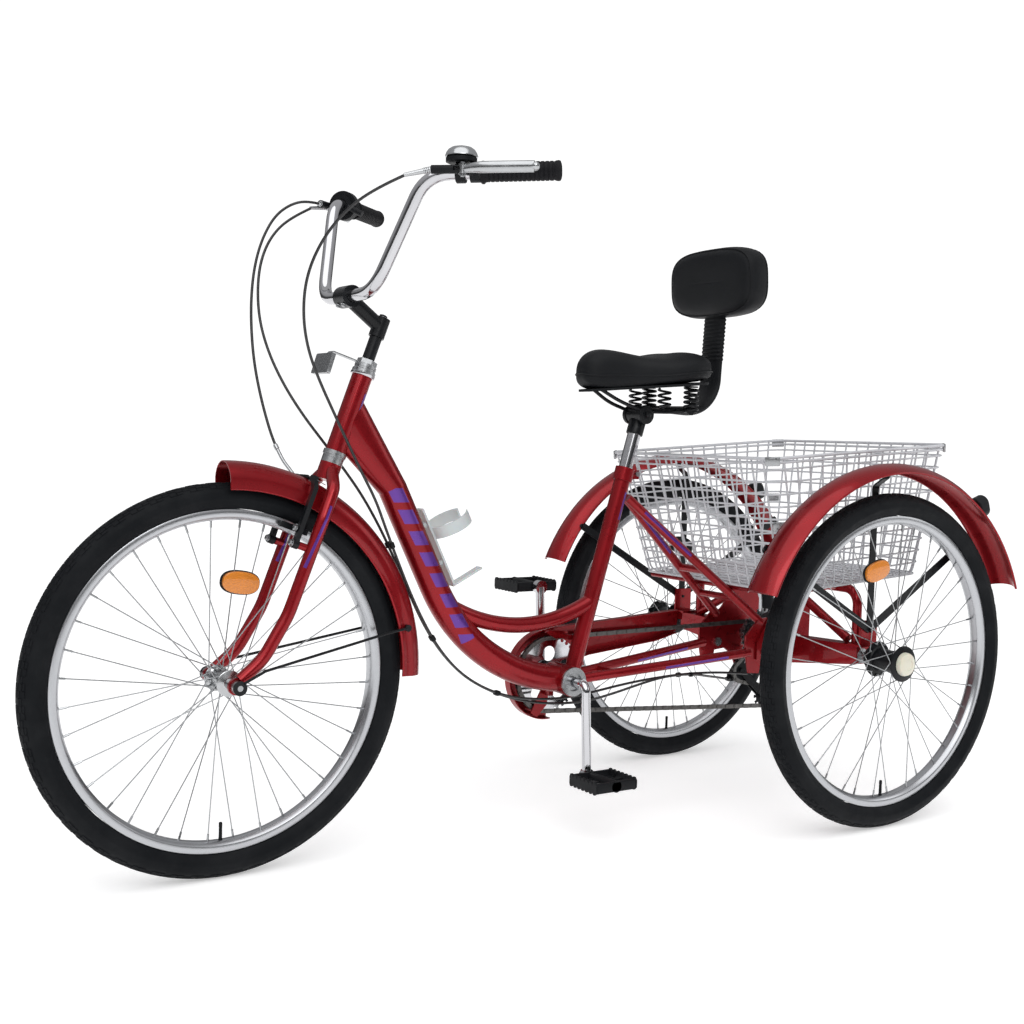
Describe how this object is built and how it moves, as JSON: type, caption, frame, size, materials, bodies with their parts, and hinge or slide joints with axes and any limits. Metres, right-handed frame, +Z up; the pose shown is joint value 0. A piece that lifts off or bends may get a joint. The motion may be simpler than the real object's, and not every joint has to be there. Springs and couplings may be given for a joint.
{
  "type": "adult tricycle",
  "caption": "Step-through adult tricycle with a steered front wheel, two rear wheels, chain drive, swept handlebar, sprung saddle with backrest and an open wire basket.",
  "frame": {"origin": "on the ground under the middle of the tricycle's bounding box", "axes": "+X forward, +Y to the rider's left, +Z up"},
  "size_m": [1.93, 0.768, 1.2144],
  "materials": {
    "frame_paint": "metallic candy gloss",
    "black_paint": "satin",
    "basket_coating": "gloss white coating",
    "chrome": "polished",
    "alloy": "polished alloy",
    "steel": "plated",
    "dark_steel": "oiled chain steel",
    "tyre": "matte rubber",
    "rubber": "matte",
    "cable": "smooth jacket",
    "black_plastic": "fine grain",
    "bell_finish": "gloss",
    "cage_plastic": "milky",
    "saddle_cover": "grained"
  },
  "bodies": {
    "frame": {"head_tube": "frame_paint", "down_tube": "frame_paint", "brace_tube": "frame_paint", "seat_tube": "frame_paint", "chain_stays": "frame_paint", "seat_stays": "frame_paint", "rear_carrier": "frame_paint", "rear_fenders": "frame_paint", "rear_fender_stays": "black_paint", "rear_reflectors": "black_plastic", "basket": "basket_coating", "bottle_cage": "cage_plastic", "chain_guard": "frame_paint", "chain": "dark_steel", "frame_hardware": "chrome", "rear_brake_cover": "black_paint", "derailleur_body": "black_paint", "rear_brake_cable": "cable", "shift_cable": "cable"},
    "steering": {"fork": "frame_paint", "steering_hardware": "chrome", "stem": "black_paint", "handlebar": "chrome", "grips": "rubber", "lever_bodies": "black_plastic", "bell": "bell_finish", "front_fender": "frame_paint", "front_fender_stays": "black_paint", "front_brake_cable": "cable"},
    "front_wheel": {"front_tyre": "tyre", "front_rim": "alloy", "front_spokes": "steel", "front_hub": "alloy"},
    "left_wheel": {"left_tyre": "tyre", "left_rim": "alloy", "left_spokes": "steel", "left_hub": "black_paint", "rear_axle": "steel"},
    "right_wheel": {"right_tyre": "tyre", "right_rim": "alloy", "right_spokes": "steel", "right_hub": "black_paint"},
    "cassette": {"cassette": "steel"},
    "crank": {"crank": "chrome"},
    "pedal_left": {"pedal_left": "black_plastic"},
    "pedal_right": {"pedal_right": "black_plastic"},
    "brake_lever_left": {"brake_lever_left": "alloy"},
    "brake_lever_right": {"brake_lever_right": "alloy"},
    "brake_arm_left": {"brake_arm_left": "black_paint"},
    "brake_arm_right": {"brake_arm_right": "black_paint"},
    "rear_brake_arm": {"rear_brake_arm": "steel"},
    "shifter_lever": {"shifter_lever": "black_plastic"},
    "bell_lever": {"bell_lever": "black_plastic"},
    "derailleur_cage": {"derailleur_cage": "black_paint"},
    "guide_pulley": {"guide_pulley": "black_plastic"},
    "tension_pulley": {"tension_pulley": "black_plastic"},
    "seat": {"seat_post": "chrome", "saddle": "saddle_cover", "saddle_frame": "black_paint", "backrest_pad": "saddle_cover"}
  },
  "joints": [
    {"name": "steering_turn", "type": "hinge", "parent": "frame", "child": "steering", "pos_m": [0.43911, 0, 0.713], "axis": [-0.342, 0, 0.9397], "range_deg": [-45, 45], "deforming": ["rear_brake_cable", "shift_cable"]},
    {"name": "front_wheel_spin", "type": "hinge", "parent": "steering", "child": "front_wheel", "pos_m": [0.63511, 0, 0.33], "axis": [0, 1, 0], "continuous": true},
    {"name": "left_wheel_spin", "type": "hinge", "parent": "frame", "child": "left_wheel", "pos_m": [-0.60289, 0, 0.33], "axis": [0, 1, 0], "continuous": true},
    {"name": "right_wheel_spin", "type": "hinge", "parent": "frame", "child": "right_wheel", "pos_m": [-0.60289, 0, 0.33], "axis": [0, 1, 0], "continuous": true},
    {"name": "crank_spin", "type": "hinge", "parent": "frame", "child": "crank", "pos_m": [-0.05788, 0, 0.28], "axis": [0, 1, 0], "continuous": true},
    {"name": "cassette_spin", "type": "hinge", "parent": "frame", "child": "cassette", "pos_m": [-0.60289, 0, 0.33], "axis": [0, 1, 0], "continuous": true},
    {"name": "pedal_left_spin", "type": "hinge", "parent": "crank", "child": "pedal_left", "pos_m": [-0.05788, 0.138, 0.11], "axis": [0, 1, 0], "continuous": true},
    {"name": "pedal_right_spin", "type": "hinge", "parent": "crank", "child": "pedal_right", "pos_m": [-0.05788, -0.138, 0.45], "axis": [0, 1, 0], "continuous": true},
    {"name": "derailleur_swing", "type": "hinge", "parent": "frame", "child": "derailleur_cage", "pos_m": [-0.57488, -0.05, 0.248], "axis": [0, 1, 0], "range_deg": [-6, 6], "stiffness_Nm_per_rad": 0.4},
    {"name": "guide_pulley_spin", "type": "hinge", "parent": "derailleur_cage", "child": "guide_pulley", "pos_m": [-0.57488, -0.05, 0.248], "axis": [0, 1, 0], "continuous": true},
    {"name": "tension_pulley_spin", "type": "hinge", "parent": "derailleur_cage", "child": "tension_pulley", "pos_m": [-0.64289, -0.05, 0.189], "axis": [0, 1, 0], "continuous": true},
    {"name": "brake_lever_left_pull", "type": "hinge", "parent": "steering", "child": "brake_lever_left", "pos_m": [0.34091, 0.23834, 1.17154], "axis": [0, 0, 1], "range_deg": [0, 12], "stiffness_Nm_per_rad": 2, "springref_deg": -5.73},
    {"name": "brake_lever_right_pull", "type": "hinge", "parent": "steering", "child": "brake_lever_right", "pos_m": [0.34091, -0.23834, 1.17154], "axis": [0, 0, -1], "range_deg": [0, 12], "stiffness_Nm_per_rad": 2, "springref_deg": -5.73},
    {"name": "brake_arm_left_close", "type": "hinge", "parent": "steering", "child": "brake_arm_left", "pos_m": [0.53314, 0.05, 0.55993], "axis": [0.9397, 0, 0.342], "range_deg": [0, 2.5]},
    {"name": "brake_arm_right_close", "type": "hinge", "parent": "steering", "child": "brake_arm_right", "pos_m": [0.53314, -0.05, 0.55993], "axis": [-0.9397, 0, -0.342], "range_deg": [0, 2.5]},
    {"name": "rear_brake_arm_pull", "type": "hinge", "parent": "frame", "child": "rear_brake_arm", "pos_m": [-0.57288, 0.009, 0.29], "axis": [0, -1, 0], "range_deg": [0, 15]},
    {"name": "shifter_push", "type": "hinge", "parent": "steering", "child": "shifter_lever", "pos_m": [0.34403, -0.19532, 1.17081], "axis": [-0.7454, -0.6662, 0.0233], "range_deg": [0, 40]},
    {"name": "bell_push", "type": "hinge", "parent": "steering", "child": "bell_lever", "pos_m": [0.32688, 0.21064, 1.17135], "axis": [0, 0, 1], "range_deg": [0, 25], "stiffness_Nm_per_rad": 0.05},
    {"name": "seat_height", "type": "slide", "parent": "frame", "child": "seat", "axis": [-0.2775, 0, 0.9607], "range_m": [-0.03, 0.08]}
  ],
  "couplings": [
    {"joint": "cassette_spin", "follows": "crank_spin", "ratio": 2.5714},
    {"joint": "guide_pulley_spin", "follows": "crank_spin", "ratio": -3.2727},
    {"joint": "tension_pulley_spin", "follows": "crank_spin", "ratio": 3.2727},
    {"joint": "brake_arm_left_close", "follows": "brake_lever_right_pull", "ratio": 0.20833},
    {"joint": "brake_arm_right_close", "follows": "brake_lever_right_pull", "ratio": 0.20833},
    {"joint": "rear_brake_arm_pull", "follows": "brake_lever_left_pull", "ratio": 1.25}
  ]
}
